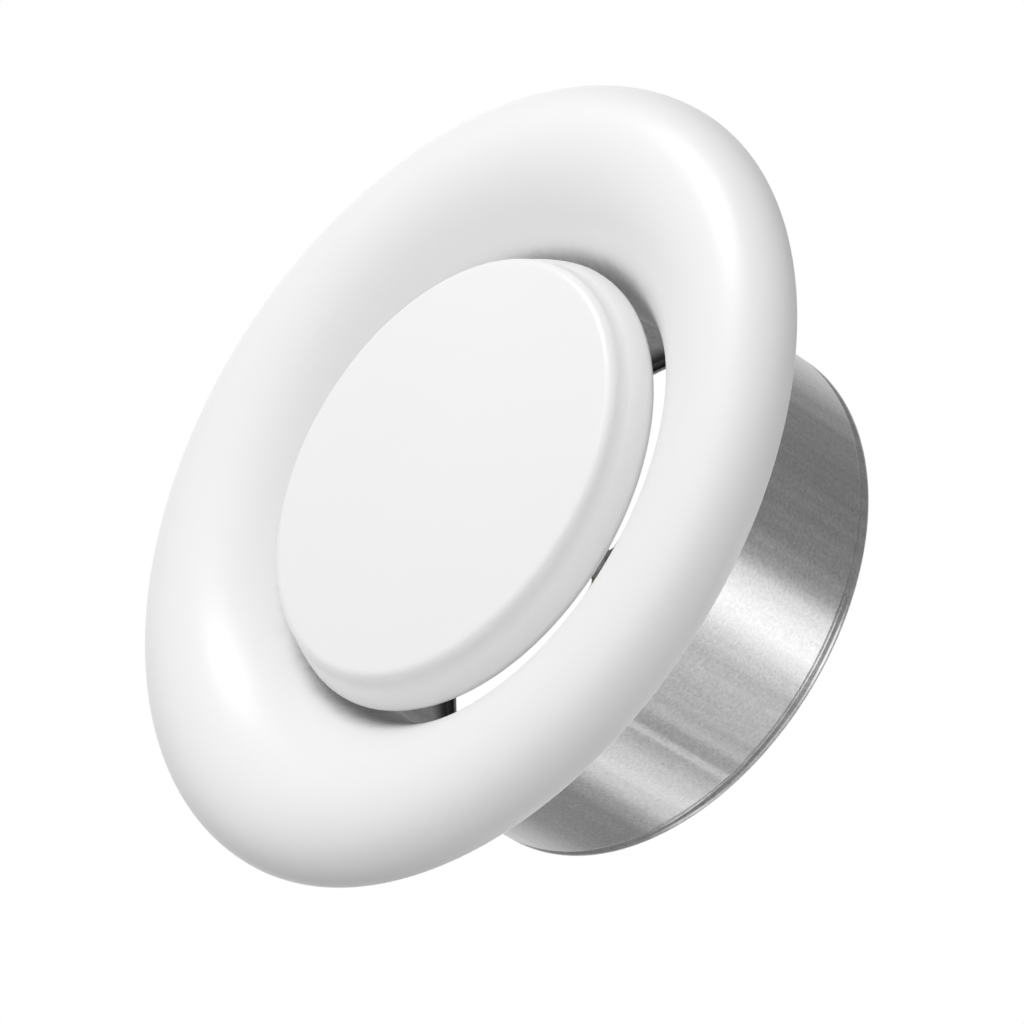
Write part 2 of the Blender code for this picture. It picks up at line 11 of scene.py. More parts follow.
import bmesh
import bpy
import numpy as np
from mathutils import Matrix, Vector


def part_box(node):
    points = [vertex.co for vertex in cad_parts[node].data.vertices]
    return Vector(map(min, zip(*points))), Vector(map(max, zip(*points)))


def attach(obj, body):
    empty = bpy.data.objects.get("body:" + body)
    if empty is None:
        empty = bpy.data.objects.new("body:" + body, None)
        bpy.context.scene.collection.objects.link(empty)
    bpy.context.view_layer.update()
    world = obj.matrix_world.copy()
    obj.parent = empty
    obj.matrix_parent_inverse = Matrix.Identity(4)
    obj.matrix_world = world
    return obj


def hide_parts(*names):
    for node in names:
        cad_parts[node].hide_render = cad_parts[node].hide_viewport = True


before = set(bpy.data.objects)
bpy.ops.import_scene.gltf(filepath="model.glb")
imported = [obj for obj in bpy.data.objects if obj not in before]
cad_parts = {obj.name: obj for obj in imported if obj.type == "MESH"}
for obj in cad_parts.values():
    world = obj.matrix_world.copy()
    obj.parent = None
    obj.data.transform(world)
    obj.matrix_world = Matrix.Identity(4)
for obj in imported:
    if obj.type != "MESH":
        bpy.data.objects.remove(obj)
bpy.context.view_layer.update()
MM = 0.001

# %% [markdown]
# ## The camera
# A longer lens stands back and flattens the perspective, as a catalogue studio does. The camera is
# below the ceiling plane and looks up at the face. It is rolled, so the collar leaves the picture
# towards its lower right corner.

# %% Aim the camera
CAMERA_LENS = 192.6
CAMERA_DISTANCE = 0.9375
SIGHT = Vector((0.0, 0.797, 0.605)).normalized()
RIGHT = Vector((-0.521, -0.516, 0.680))
RIGHT = (RIGHT - SIGHT * RIGHT.dot(SIGHT)).normalized()
UP = RIGHT.cross(SIGHT)
SIDE_STEP = 0.0082
UP_STEP = -0.0053


def aim_camera():
    """The camera's own axes are its right hand, its head and the way back from the object."""
    camera = bpy.data.objects.new("camera", bpy.data.cameras.new("camera"))
    bpy.context.scene.collection.objects.link(camera)
    camera.data.lens = CAMERA_LENS
    camera.data.clip_end = 50.0
    axes = np.eye(4)
    axes[:3, 0] = RIGHT
    axes[:3, 1] = UP
    axes[:3, 2] = -SIGHT
    axes[:3, 3] = RIGHT * SIDE_STEP + UP * UP_STEP - SIGHT * CAMERA_DISTANCE
    camera.matrix_world = axes.T.tolist()
    bpy.context.scene.camera = camera
    return camera


camera = aim_camera()
print("camera at", [round(x, 3) for x in camera.matrix_world.translation])

# %% [markdown]
# ## Trees that read like sums
# Geometry and shader trees are built here by code. A small Wire stands for one node's output and
# takes part in plain arithmetic, so a rule such as radius minus thread depth stays a readable line.
# A Tree adds nodes, feeds their sockets and gives the output back.

# %% Wires and trees


class Wire:
    """One output of a node, ready for arithmetic and for other nodes."""

    def __init__(self, tree, socket):
        self.tree = tree
        self.socket = socket

    def also(self, name):
        """Another output of the same node."""
        return Wire(self.tree, find_socket(self.socket.node.outputs, name))

    def calc(self, operation, *others):
        return self.tree.put("ShaderNodeMath", [self, *others], operation=operation)

    def __add__(self, other):
        return self.calc("ADD", other)

    def __radd__(self, other):
        return self.calc("ADD", other)

    def __sub__(self, other):
        return self.calc("SUBTRACT", other)

    def __rsub__(self, other):
        return self.calc("MULTIPLY", -1.0) + other

    def __mul__(self, other):
        return self.calc("MULTIPLY", other)

    def __rmul__(self, other):
        return self.calc("MULTIPLY", other)

    def __truediv__(self, other):
        return self.calc("DIVIDE", other)

    def ramp(self, low, high, first=0.0, last=1.0, curve="SMOOTHSTEP"):
        """Goes from first to last while this value goes from low to high."""
        sockets = {"Value": self, "From Min": low, "From Max": high, "To Min": first, "To Max": last}
        return self.tree.put("ShaderNodeMapRange", sockets, interpolation_type=curve)


def find_socket(sockets, key):
    """A socket by its place or its name, among those that the node's settings leave in use."""
    used = [socket for socket in sockets if socket.enabled]
    if isinstance(key, int):
        return used[key]
    return next(socket for socket in used if socket.name == key)


class Tree:
    """A node tree that is written as a recipe."""

    def __init__(self, nodes):
        self.nodes = nodes

    def feed(self, socket, value):
        if isinstance(value, Wire):
            self.nodes.links.new(value.socket, socket)
        else:
            socket.default_value = value

    def put(self, kind, sockets=(), result=0, **settings):
        """Adds a node, sets it up and returns one of its outputs."""
        node = self.nodes.nodes.new(kind)
        for name, value in settings.items():
            setattr(node, name, value)
        pairs = sockets.items() if isinstance(sockets, dict) else enumerate(sockets)
        for key, value in pairs:
            self.feed(find_socket(node.inputs, key), value)
        return Wire(self, find_socket(node.outputs, result))


print("trees are ready")

# %% [markdown]
# ## The studio
# A catalogue cut-out stands on plain white. The world is white where the camera looks straight at it,
# and a calmer grey for everything that it lights, with a bright sweep behind the object. Seven soft
# boxes do the rest. A small one draws the highlight on the paint, and a broad one before the face
# lights it evenly. A weak one fills the near side of the rim, three draw the bright strips along the
# collar, and a broad one above lights the duct side. The floor is pale, and far enough below a ceiling
# part for the camera to stand under it.

# %% Set up the world and the floor
WORLD_GREY = 0.30
SWEEP_LIGHT = 1.0
SWEEP_START = 0.62
SWEEP_FULL = 0.95
FLOOR_TONE = 0.9
FLOOR_DEPTH = 1.15
FLOOR_SIZE = 8.0


def set_world():
    world = bpy.data.worlds.new("studio")
    bpy.context.scene.world = world
    world.use_nodes = True
    world.node_tree.nodes.clear()
    tree = Tree(world.node_tree)
    direction = tree.put("ShaderNodeTexCoord", result="Generated")
    facing = tree.put("ShaderNodeVectorMath", [direction, tuple(SIGHT)], "Value", operation="DOT_PRODUCT")
    level = facing.ramp(SWEEP_START, SWEEP_FULL, WORLD_GREY, SWEEP_LIGHT)
    studio = tree.put("ShaderNodeBackground", {"Color": level, "Strength": 1.0})
    paper = tree.put("ShaderNodeBackground", {"Color": (1, 1, 1, 1), "Strength": 1.0})
    seen = tree.put("ShaderNodeLightPath", result="Is Camera Ray")
    link_surface(tree, "ShaderNodeOutputWorld", seen, studio, paper)


def link_surface(tree, kind, factor, first, second):
    mixed = tree.put("ShaderNodeMixShader", [factor, first, second])
    output = tree.nodes.nodes.new(kind)
    tree.feed(output.inputs["Surface"], mixed)


def link_object(name, data):
    thing = bpy.data.objects.new(name, data)
    bpy.context.scene.collection.objects.link(thing)
    return thing


def lay_floor():
    half = FLOOR_SIZE / 2
    corners = [(-half, -half), (half, -half), (half, half), (-half, half)]
    mesh = bpy.data.meshes.new("floor")
    mesh.from_pydata([(x, y, -FLOOR_DEPTH) for x, y in corners], [], [(0, 1, 2, 3)])
    material = bpy.data.materials.new("floor_paper")
    material.use_nodes = True
    shader = material.node_tree.nodes["Principled BSDF"]
    shader.inputs["Base Color"].default_value = (FLOOR_TONE, FLOOR_TONE, FLOOR_TONE, 1.0)
    shader.inputs["Roughness"].default_value = 0.9
    mesh.materials.append(material)
    floor = link_object("floor", mesh)


set_world()
lay_floor()
bpy.context.scene.view_settings.view_transform = "Standard"
print("floor at", -FLOOR_DEPTH, "m")

# %% Hang the soft boxes
# name: direction from the object, distance, width, height, watts
SOFT_BOXES = {
    "paint_box": ((-0.50, 0.53, -0.63), 1.0, 0.30, 0.30, 2.5),
    "face_box": ((-0.20, 0.09, -0.98), 1.0, 0.70, 0.70, 4.9),
    "rim_box": ((-0.10, -0.86, -0.20), 1.1, 0.50, 0.30, 0.3),
    "zinc_box_right": ((-0.21, -0.77, 0.605), 0.8, 0.28, 0.60, 1.0),
    "zinc_box_middle": ((0.28, -0.75, 0.60), 0.8, 0.40, 0.60, 0.45),
    "zinc_box_low": ((0.74, -0.33, 0.605), 0.8, 0.22, 0.60, 0.6),
    "top_box": ((0.1, 0.2, 1.0), 1.2, 0.9, 0.9, 1.6),
}

# These light the object without drawing a highlight on it.
MATTE_BOXES = {"face_box"}


def hang_soft_box(name, direction, distance, width, height, watts):
    """A rectangular lamp that looks at the object and can't be seen itself."""
    lamp = bpy.data.lights.new(name, "AREA")
    lamp.shape = "RECTANGLE"
    lamp.size = width
    lamp.size_y = height
    lamp.energy = watts
    box = link_object(name, lamp)
    way = Vector(direction).normalized()
    box.location = way * distance
    box.rotation_euler = way.to_track_quat("Z", "Y").to_euler()
    box.visible_camera = False
    box.visible_glossy = name not in MATTE_BOXES


for name, setup in SOFT_BOXES.items():
    hang_soft_box(name, *setup)
print(len(SOFT_BOXES), "soft boxes")

# %% [markdown]
# ## Finishes
# Every finish is made of noise on the piece's own coordinates, so it has no seam and needs no picture.
# Powder coat is a smooth thick white skin with a faint orange-peel bump. It is sprayed from the front,
# so the ring's throat is only dusted, and the bare zinc shows where the dust thins out. Galvanised
# sheet is bright. Inside the collar its colour carries painted shade: slightly darker all along, and
# nearly black in a band near the rear edge.

# %% Helpers for finishes


def new_finish(name, **constants):
    """A material and its tree, with the plain constants set on the shader's own sockets."""
    material = bpy.data.materials.new(name)
    material.use_nodes = True
    tree = Tree(material.node_tree)
    shader = material.node_tree.nodes["Principled BSDF"]
    for socket, value in constants.items():
        shader.inputs[socket.replace("_", " ")].default_value = value
    return material, tree, shader


def grain(tree, place, scale, stretch=(1.0, 1.0, 1.0), detail=3.0, roughness=0.5):
    """Noise from 0 to 1 with its grains at 1/scale metres, drawn out along the axes."""
    stretched = tree.put("ShaderNodeMapping", {"Vector": place, "Scale": stretch})
    sockets = {"Vector": stretched, "Scale": scale, "Detail": detail, "Roughness": roughness}
    return tree.put("ShaderNodeTexNoise", sockets, "Fac")


def bump(tree, shader, height, depth):
    """Tilts the shading as if the height, from 0 to 1, were that deep in metres."""
    normal = tree.put("ShaderNodeBump", {"Strength": 1.0, "Distance": depth, "Height": height}, "Normal")
    tree.feed(shader.inputs["Normal"], normal)


def zinc_look(tree, place):
    """Base colour, roughness and relief of galvanised sheet: fine speckle, mill lines, clouds."""
    speckle = grain(tree, place, 1700.0, detail=3.0, roughness=0.8)
    mill_lines = grain(tree, place, 60.0, stretch=(1.0, 1.0, 40.0), detail=4.0)
    scratches = grain(tree, place, 420.0, stretch=(1.0, 1.0, 0.03), detail=2.0)
    clouds = grain(tree, place, 45.0, detail=2.0)
    colour = 0.10 + 0.50 * speckle + 0.05 * mill_lines + 0.22 * scratches + 0.10 * clouds
    roughness = 0.20 + 0.16 * speckle + 0.08 * clouds
    height = speckle * 0.6 + mill_lines * 0.15 + scratches * 0.25
    return colour, roughness, height


# %% Make the finishes
FADE_START = 0.0 * MM
FADE_END = 6.0 * MM
FADE_WANDER = 4.0 * MM
OVERSPRAY = 0.35
PAINT_WHITE = 0.86
PAINT_ROUGHNESS = 0.34
PEEL_DEPTH = 0.004 * MM
# How deep the painted shade darkens the zinc where coat is 1, near the collar's rear edge.
PAINTED_SHADE_DEPTH = 0.85
ZINC_RELIEF = 0.018 * MM
TOOL_MARKS = 0.01 * MM
FOAM_CELLS = 0.15 * MM


def make_paint():
    """White powder coat over zinc. The attribute coat is 0 on a bare side of the sheet, 1 where
    it was sprayed from the front only and fades with depth, and 2 where it was sprayed all over."""
    material, tree, shader = new_finish("white_powder_coat", Specular_IOR_Level=0.5)
    place = tree.put("ShaderNodeTexCoord", result="Object")
    height = tree.put("ShaderNodeSeparateXYZ", [place], "Z")
    coat = tree.put("ShaderNodeAttribute", result="Fac", attribute_name="coat")
    dust = grain(tree, place, 220.0, detail=6.0, roughness=0.75)
    level = height + (dust - 0.5) * FADE_WANDER
    all_over = (coat - 1.0).calc("MAXIMUM", 0.0)
    cover = (coat * level.ramp(FADE_START, FADE_END, 1.0, 0.0) + all_over).calc("MINIMUM", 1.0)
    colour, roughness, relief = zinc_look(tree, place)
    tone = grain(tree, place, 25.0, detail=2.0)
    white = PAINT_WHITE + 0.02 * tone
    tree.feed(shader.inputs["Base Color"], white * cover + colour * 1.25 * (1.0 - cover))
    tree.feed(shader.inputs["Metallic"], (1.0 - cover) * (1.0 - OVERSPRAY))
    tree.feed(shader.inputs["Roughness"], PAINT_ROUGHNESS * cover + (roughness + 0.15) * (1.0 - cover))
    peel = grain(tree, place, 650.0, detail=1.0)
    bump(tree, shader, peel * cover + relief * (1.0 - cover), PEEL_DEPTH)
    return material


def make_zinc():
    """Galvanised sheet. The attribute coat carries painted shade here: the zinc is darker and rougher where
    it is high.
    """
    material, tree, shader = new_finish("galvanised_sheet", Metallic=1.0)
    place = tree.put("ShaderNodeTexCoord", result="Object")
    coat = tree.put("ShaderNodeAttribute", result="Fac", attribute_name="coat")
    colour, roughness, relief = zinc_look(tree, place)
    # Painted shade: coat darkens the colour inside the collar.
    tree.feed(shader.inputs["Base Color"], colour * (1.0 - coat * PAINTED_SHADE_DEPTH))
    tree.feed(shader.inputs["Roughness"], roughness + coat * 0.15)
    bump(tree, shader, relief, ZINC_RELIEF)
    return material


def make_metal(name, colour, roughness):
    """Turned or plated metal: one tone with faint tool marks round the axis."""
    material, tree, shader = new_finish(name, Metallic=1.0)
    place = tree.put("ShaderNodeTexCoord", result="Object")
    marks = grain(tree, place, 60.0, stretch=(1.0, 1.0, 30.0), detail=3.0)
    stains = grain(tree, place, 180.0, detail=3.0)
    shade = 0.82 + 0.20 * marks + 0.16 * stains
    parts = [shade * part for part in colour]
    tree.feed(shader.inputs["Base Color"], tree.put("ShaderNodeCombineXYZ", parts))
    tree.feed(shader.inputs["Roughness"], roughness - 0.06 + 0.16 * stains)
    bump(tree, shader, marks, TOOL_MARKS)
    return material


def make_foam():
    material, tree, shader = new_finish("closed_cell_foam", Specular_IOR_Level=0.3)
    place = tree.put("ShaderNodeTexCoord", result="Object")
    cells = tree.put("ShaderNodeTexVoronoi", {"Vector": place, "Scale": 1400.0}, "Distance")
    clouds = grain(tree, place, 90.0)
    tree.feed(shader.inputs["Base Color"], 0.07 + 0.05 * clouds + 0.05 * cells)
    tree.feed(shader.inputs["Roughness"], 0.82 + 0.15 * clouds)
    bump(tree, shader, cells, FOAM_CELLS)
    return material


paint = make_paint()
zinc = make_zinc()
plated = make_metal("zinc_plated_steel", (0.70, 0.70, 0.71), 0.28)
spring = make_metal("dark_spring_strip", (0.30, 0.30, 0.32), 0.34)
brass = make_metal("turned_brass", (0.74, 0.58, 0.30), 0.30)
foam = make_foam()
print("finishes:", [material.name for material in (paint, zinc, plated, spring, brass, foam)])

# %% [markdown]
# ## One recipe for everything that is turned
# Nearly every piece of a disc valve is round: pressed over a form or cut on a lathe. The rule is the
# same each time: a section, repeated round the axis. The tree lays out a grid whose rows are the
# points of a section and whose columns are the steps round the axis, and moves each point to its
# place. An optional rule may change the radius on the way, for threads, flats or a lap.

# %% The turning tree


class Recipe(Tree):
    """A geometry tree with named inputs."""

    def __init__(self, name):
        super().__init__(bpy.data.node_groups.new(name, "GeometryNodeTree"))
        self.entry = self.nodes.nodes.new("NodeGroupInput")
        self.nodes.interface.new_socket("Geometry", in_out="OUTPUT", socket_type="NodeSocketGeometry")

    def ask(self, name, kind="Float"):
        """A named input of the recipe."""
        self.nodes.interface.new_socket(name, in_out="INPUT", socket_type="NodeSocket" + kind)
        return Wire(self, self.entry.outputs[name])

    def serve(self, geometry):
        """Ends the recipe: real meshes, one finish."""
        real = self.put("GeometryNodeRealizeInstances", [geometry])
        sockets = {"Geometry": real, "Material": self.ask("Finish", "Material")}
        finished = self.put("GeometryNodeSetMaterial", sockets)
        exit_node = self.nodes.nodes.new("NodeGroupOutput")
        self.feed(exit_node.inputs["Geometry"], finished)
        return self

    def smooth(self, geometry, angle=32.0):
        """Smooth faces, with crisp edges where the sheet bends more than the angle."""
        every_face = {"Geometry": geometry, "Shade Smooth": True}
        soft = self.put("GeometryNodeSetShadeSmooth", every_face, domain="FACE")
        bend = self.put("GeometryNodeInputMeshEdgeAngle", result="Unsigned Angle")
        sharp = bend.calc("GREATER_THAN", math.radians(angle))
        return self.put(
            "GeometryNodeSetShadeSmooth",
            {"Geometry": soft, "Selection": sharp, "Shade Smooth": False},
            domain="EDGE",
        )


def turning_recipe(name, rule=None):
    """The turning tree; rule(recipe, radius, angle, level) gives a new radius."""
    recipe = Recipe(name)
    section = recipe.ask("Section", "Object")
    steps = recipe.ask("Steps round", "Int")
    points = recipe.put("GeometryNodeObjectInfo", [section], "Geometry")
    count = recipe.put("GeometryNodeAttributeDomainSize", [points], "Point Count")
    rows = count + 1.0
    sockets = {"Size X": 1.0, "Size Y": 1.0, "Vertices X": steps + 1.0, "Vertices Y": rows}
    grid = recipe.put("GeometryNodeMeshGrid", sockets, "Mesh")
    index = recipe.put("GeometryNodeInputIndex")
    row = index.calc("MODULO", rows)
    column = (index / rows + 0.0001).calc("FLOOR")
    sample = {"Geometry": points, "Value": recipe.put("GeometryNodeInputPosition"),
              "Index": (row + 0.5).calc("FLOOR").calc("MODULO", count)}
    spot = recipe.put("GeometryNodeSampleIndex", sample, data_type="FLOAT_VECTOR")
    parts = recipe.put("ShaderNodeSeparateXYZ", [spot], "X")
    radius, coat, level = parts, parts.also("Y"), parts.also("Z")
    angle = column * (2.0 * math.pi) / steps
    if rule:
        radius = rule(recipe, radius, angle, level)
    across, ahead = radius * angle.calc("COSINE"), radius * angle.calc("SINE")
    place = recipe.put("ShaderNodeCombineXYZ", [across, ahead, level])
    moved = recipe.put("GeometryNodeSetPosition", {"Geometry": grid, "Position": place})
    kept = recipe.put("GeometryNodeStoreNamedAttribute", {"Geometry": moved, "Name": "coat", "Value": coat})
    closed = recipe.put("GeometryNodeMergeByDistance", {"Geometry": kept, "Distance": 1e-6})
    faces = recipe.put("GeometryNodeInputMeshEdgeNeighbors", result="Face Count")
    bare = {"Geometry": closed, "Selection": faces.calc("LESS_THAN", 0.5)}
    clean = recipe.put("GeometryNodeDeleteGeometry", bare, domain="EDGE", mode="EDGE_FACE")
    return recipe.serve(recipe.smooth(clean))


turning = turning_recipe("turned piece")
print("turning tree:", len(turning.nodes.nodes), "nodes")

# %% Run a recipe


def run_recipe(recipe, name, finish, **sizes):
    """Runs a recipe once and keeps the result as a plain mesh object. Underscores stand for spaces."""
    holder = link_object(name + "_recipe", bpy.data.meshes.new(name + "_recipe"))
    modifier = holder.modifiers.new("recipe", "NODES")
    modifier.node_group = recipe.nodes
    sockets = {s.name: s.identifier for s in recipe.nodes.interface.items_tree if s.in_out == "INPUT"}
    modifier[sockets["Finish"]] = finish
    for label, value in sizes.items():
        modifier[sockets[label.replace("_", " ")]] = value
    evaluated = holder.evaluated_get(bpy.context.evaluated_depsgraph_get())
    mesh = bpy.data.meshes.new_from_object(evaluated)
    bpy.data.objects.remove(holder)
    mesh.name = name
    return link_object(name, mesh)


def report(piece):
    """Prints triangles and volume; a volume below nought would mean a shape turned inside out."""
    bm = bmesh.new()
    bm.from_mesh(piece.data)
    bmesh.ops.triangulate(bm, faces=bm.faces)
    open_edges = sum(1 for edge in bm.edges if not edge.is_manifold)
    cubic_mm = bm.calc_volume(signed=True) / MM**3
    print(piece.name, len(bm.faces), "triangles,", round(cubic_mm), "mm3,", open_edges, "open edges")
    bm.free()


def section_object(name, points, coat=None):
    """A section as loose points: x is the radius, z the level, and y carries coat. All in mm."""
    area = sum(a[0] * b[1] - b[0] * a[1] for a, b in zip(points, points[1:] + points[:1]))
    coats = coat or [0.0] * len(points)
    rows = [(r * MM, c, z * MM) for (r, z), c in zip(points, coats)]
    if area < 0:
        rows.reverse()
    mesh = bpy.data.meshes.new(name)
    mesh.from_pydata(rows, [], [])
    return link_object(name, mesh)


def turn(name, points, finish, steps=96, coat=None, recipe=None, **sizes):
    """Turns a section, given in mm, into a finished piece."""
    section = section_object(name + "_section", points, coat)
    piece = run_recipe(recipe or turning, name, finish, Section=section, Steps_round=steps, **sizes)
    bpy.data.objects.remove(section)
    return piece


def settle(piece, body, slot, *nodes):
    """Hands a finished piece to its CAD body, in place of its plain nodes."""
    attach(piece, body)
    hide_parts(*nodes)
    report(piece)


def arc(centre, radii, start, end, steps, power=2.0):
    """Points (r, z) on an ellipse; angles in degrees, 0 outwards and 90 up. A lower power flattens it."""
    points = []
    for step in range(steps + 1):
        turn = math.radians(start + (end - start) * step / steps)
        across = math.copysign(abs(math.cos(turn)) ** (2.0 / power), math.cos(turn))
        up = math.copysign(abs(math.sin(turn)) ** (2.0 / power), math.sin(turn))
        points.append((centre[0] + radii[0] * across, centre[1] + radii[1] * up))
    return points


def soften(corners, reach=0.25, steps=3):
    """Rounds the corners of a closed section, apart from those on the axis."""
    points = []
    for index, corner in enumerate(corners):
        here = Vector(corner)
        back = Vector(corners[index - 1]) - here
        ahead = Vector(corners[(index + 1) % len(corners)]) - here
        if here.x < 1e-6:
            points.append(tuple(here))
            continue
        first = here + back.normalized() * min(reach, back.length * 0.4)
        last = here + ahead.normalized() * min(reach, ahead.length * 0.4)
        for step in range(steps + 1):
            t = step / steps
            points.append(tuple(first * (1 - t) ** 2 + here * 2 * t * (1 - t) + last * t**2))
    return points


def strip_section(line, thickness):
    """A closed section that follows a centreline at a constant thickness."""
    left, right = [], []
    for index, point in enumerate(line):
        along = Vector(line[min(index + 1, len(line) - 1)]) - Vector(line[max(index - 1, 0)])
        side = Vector((-along.y, along.x)).normalized() * thickness / 2
        left.append(Vector(point) + side)
        right.append(Vector(point) - side)
    return left + right[::-1]


def curve(first, bend, last, steps):
    """Points on a curve from first to last that leans towards bend."""
    ends = Vector(first), Vector(bend), Vector(last)
    shares = [step / steps for step in range(steps + 1)]
    return [tuple(ends[0] * (1 - t) ** 2 + ends[1] * 2 * t * (1 - t) + ends[2] * t**2) for t in shares]


def box_mm(node):
    """Lowest and highest corner of a CAD node, in mm."""
    low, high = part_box(node)
    return low / MM, high / MM


# %% [markdown]
# ## The face ring
# One blank of steel sheet, pressed into a bulged rim that runs into the throat like a horn, with a
# flanged neck behind it. The rim's roll is a quarter of an ellipse, and so is the slope, slightly
# flattened. The cut edge at the rim is rounded, which draws a thin bright line round the ring.

# %% Turn the face ring
ring_low, ring_high = box_mm("face_ring")
ROLL_WIDTH = 12.0
NECK_RISE = 19.0
NECK_LENGTH = 1.5
RIM_R = ring_high.x
CREST_R = RIM_R - ROLL_WIDTH
RIM_Z = ring_high.z - NECK_RISE
CREST_Z = ring_low.z
NECK_Z = ring_high.z
THROAT_R = 40.0
THROAT_Z = NECK_Z - NECK_LENGTH
SLOPE_POWER = 1.9
NECK_FLANGE_R = 47.5
SHEET = 1.0
NECK_BEND = 0.5
ROLL_STEPS = 20
SLOPE_STEPS = 32


def ring_section():
    """Section of the ring, with coat 1 on the sprayed side and 0 behind."""
    roll = (RIM_R - CREST_R, RIM_Z - CREST_Z)
    slope = (CREST_R - THROAT_R, THROAT_Z - CREST_Z)
    bend = (THROAT_R + SHEET + NECK_BEND, NECK_Z - SHEET - NECK_BEND)
    inner_roll = (roll[0] - SHEET, roll[1] - SHEET)
    inner_slope = (slope[0] - SHEET, slope[1] - SHEET)
    front = arc((CREST_R, RIM_Z), roll, 0, -90, ROLL_STEPS)
    front += arc((CREST_R, THROAT_Z), slope, -90, -180, SLOPE_STEPS, SLOPE_POWER)[1:-1]
    front += arc(bend, (SHEET + NECK_BEND, SHEET + NECK_BEND), 180, 90, 6)
    flange_edge = [(NECK_FLANGE_R, NECK_Z), (NECK_FLANGE_R, NECK_Z - SHEET)]
    back = arc(bend, (NECK_BEND, NECK_BEND), 90, 180, 4)
    back += arc((CREST_R, THROAT_Z), inner_slope, -180, -90, SLOPE_STEPS, SLOPE_POWER)[1:]
    back += arc((CREST_R, RIM_Z), inner_roll, -90, 0, ROLL_STEPS)[1:-1]
    edge = arc((RIM_R - SHEET / 2, RIM_Z), (SHEET / 2, SHEET / 2), 180, 0, 8)[:-1]
    points = front + flange_edge + back + edge
    coat = [1.0] * len(front) + [0.0] * (len(flange_edge) + len(back)) + [1.0] * len(edge)
    return points, coat


points, coat = ring_section()
face_ring = turn("face_ring_sheet", points, paint, steps=240, coat=coat)
settle(face_ring, "housing", "white_paint", "face_ring")

# %% [markdown]
# ## The disc
# The front shell is a shallow pressed pan. Its face is a very flat dome that rolls over into a short
# wall. Behind the wall the sheet flares out to a skirt, which closes on the ring's slope, and then
# turns in to a lip. The dished back plate closes the pan and carries the hub.

# %% Turn the disc's front shell
disc_low, disc_high = box_mm("disc_front")
DISC_SHEET = 0.8
HALF = DISC_SHEET / 2
SKIRT_W, SKIRT_H = 2.2, 4.2
BACK_W, BACK_H = 1.0, 1.2
WIDEST = (disc_high.x - HALF, disc_high.z - BACK_H)
BEND_ACROSS, BEND_UP = 0.6, 0.35
WALL_BEND = (-0.05, -0.35)
WALL_END = (0.42, 0.48)
SKIRT_GAP = 0.1
DOME_STEPS = 20
ROLL = 1.7
WALL_LEAN = 0.2
FACE_H = 7.1
LIP_W = 2.5


def disc_line():
    """Middle of the shell's sheet, from the middle of the face to the lip."""
    foot = (WIDEST[0] - SKIRT_W, WIDEST[1] - SKIRT_H)
    bend = (foot[0] + BEND_ACROSS * SKIRT_W, foot[1] + BEND_UP * SKIRT_H)
    face_z = WIDEST[1] - FACE_H + HALF
    front_z = disc_low.z + HALF
    dome_r = foot[0] - WALL_LEAN - ROLL
    shares = [step / DOME_STEPS for step in range(DOME_STEPS)]
    line = [(dome_r * t, front_z + (face_z - front_z) * t * t) for t in shares]
    roll = arc((dome_r, face_z + ROLL), (ROLL, ROLL), -90, -15, 10)
    wall_bend = (foot[0] + WALL_BEND[0], foot[1] + WALL_BEND[1])
    wall_end = (foot[0] + WALL_END[0], foot[1] + WALL_END[1])
    wall = curve(roll[-1], wall_bend, wall_end, 8)
    skirt = [point for point in curve(foot, bend, WIDEST, 16) if point[1] > wall_end[1] + SKIRT_GAP]
    back = arc((WIDEST[0] + HALF - BACK_W, WIDEST[1]), (BACK_W - HALF, BACK_H - HALF), 0, 90, 8)[1:]
    return line + roll + wall[1:] + skirt + back + [(back[-1][0] - LIP_W, back[-1][1])]


skin = strip_section(disc_line(), DISC_SHEET)
skin[0].x = 0.0
skin[-1].x = 0.0
side = len(skin) // 2
coat = [0.0] * side + [2.0] * side
disc_front = turn("disc_shell", [tuple(point) for point in skin], paint, steps=192, coat=coat)
settle(disc_front, "disc", "white_paint", "disc_front")

# %% Turn the disc's back plate
back_low, back_high = box_mm("disc_back")
DISH_R = 15.0
DISH_SLOPE = 2.5
DISH_STEPS = 16
BORE_R = 3.3
dish_rise = back_high.z - back_low.z - DISC_SHEET
slope_r = DISH_R + DISH_SLOPE * dish_rise


def back_plate_section():
    """Both faces of the plate; the dish rises in one smooth S from the slope to the middle."""
    upper = []
    for index in range(DISH_STEPS + 1):
        t = index / DISH_STEPS
        r = slope_r + (DISH_R - slope_r) * t
        upper.append((r, back_low.z + dish_rise * t * t * (3 - 2 * t) + DISC_SHEET))
    lower = [(r, z - DISC_SHEET) for r, z in upper]
    rim = back_high.x
    top = [(rim, back_low.z + DISC_SHEET)] + upper + [(BORE_R, back_high.z)]
    return top + [(BORE_R, back_high.z - DISC_SHEET)] + lower[::-1] + [(rim, back_low.z)]


disc_back = turn("disc_back_plate", back_plate_section(), zinc, steps=144)
settle(disc_back, "disc", "galvanised_steel", "disc_back")

# %% [markdown]
# ## The mounting collar
# A strip of galvanised sheet rolled into a tube and closed with a lap. Its rear edge is rolled in
# behind a shallow bead, and its front edge is flanged for four screws. Lap and bead are rules added to
# the turning tree: the radius steps up over a narrow width at one angle, and dips at one level. A
# little noise keeps the wall as uneven as a rolled sheet.

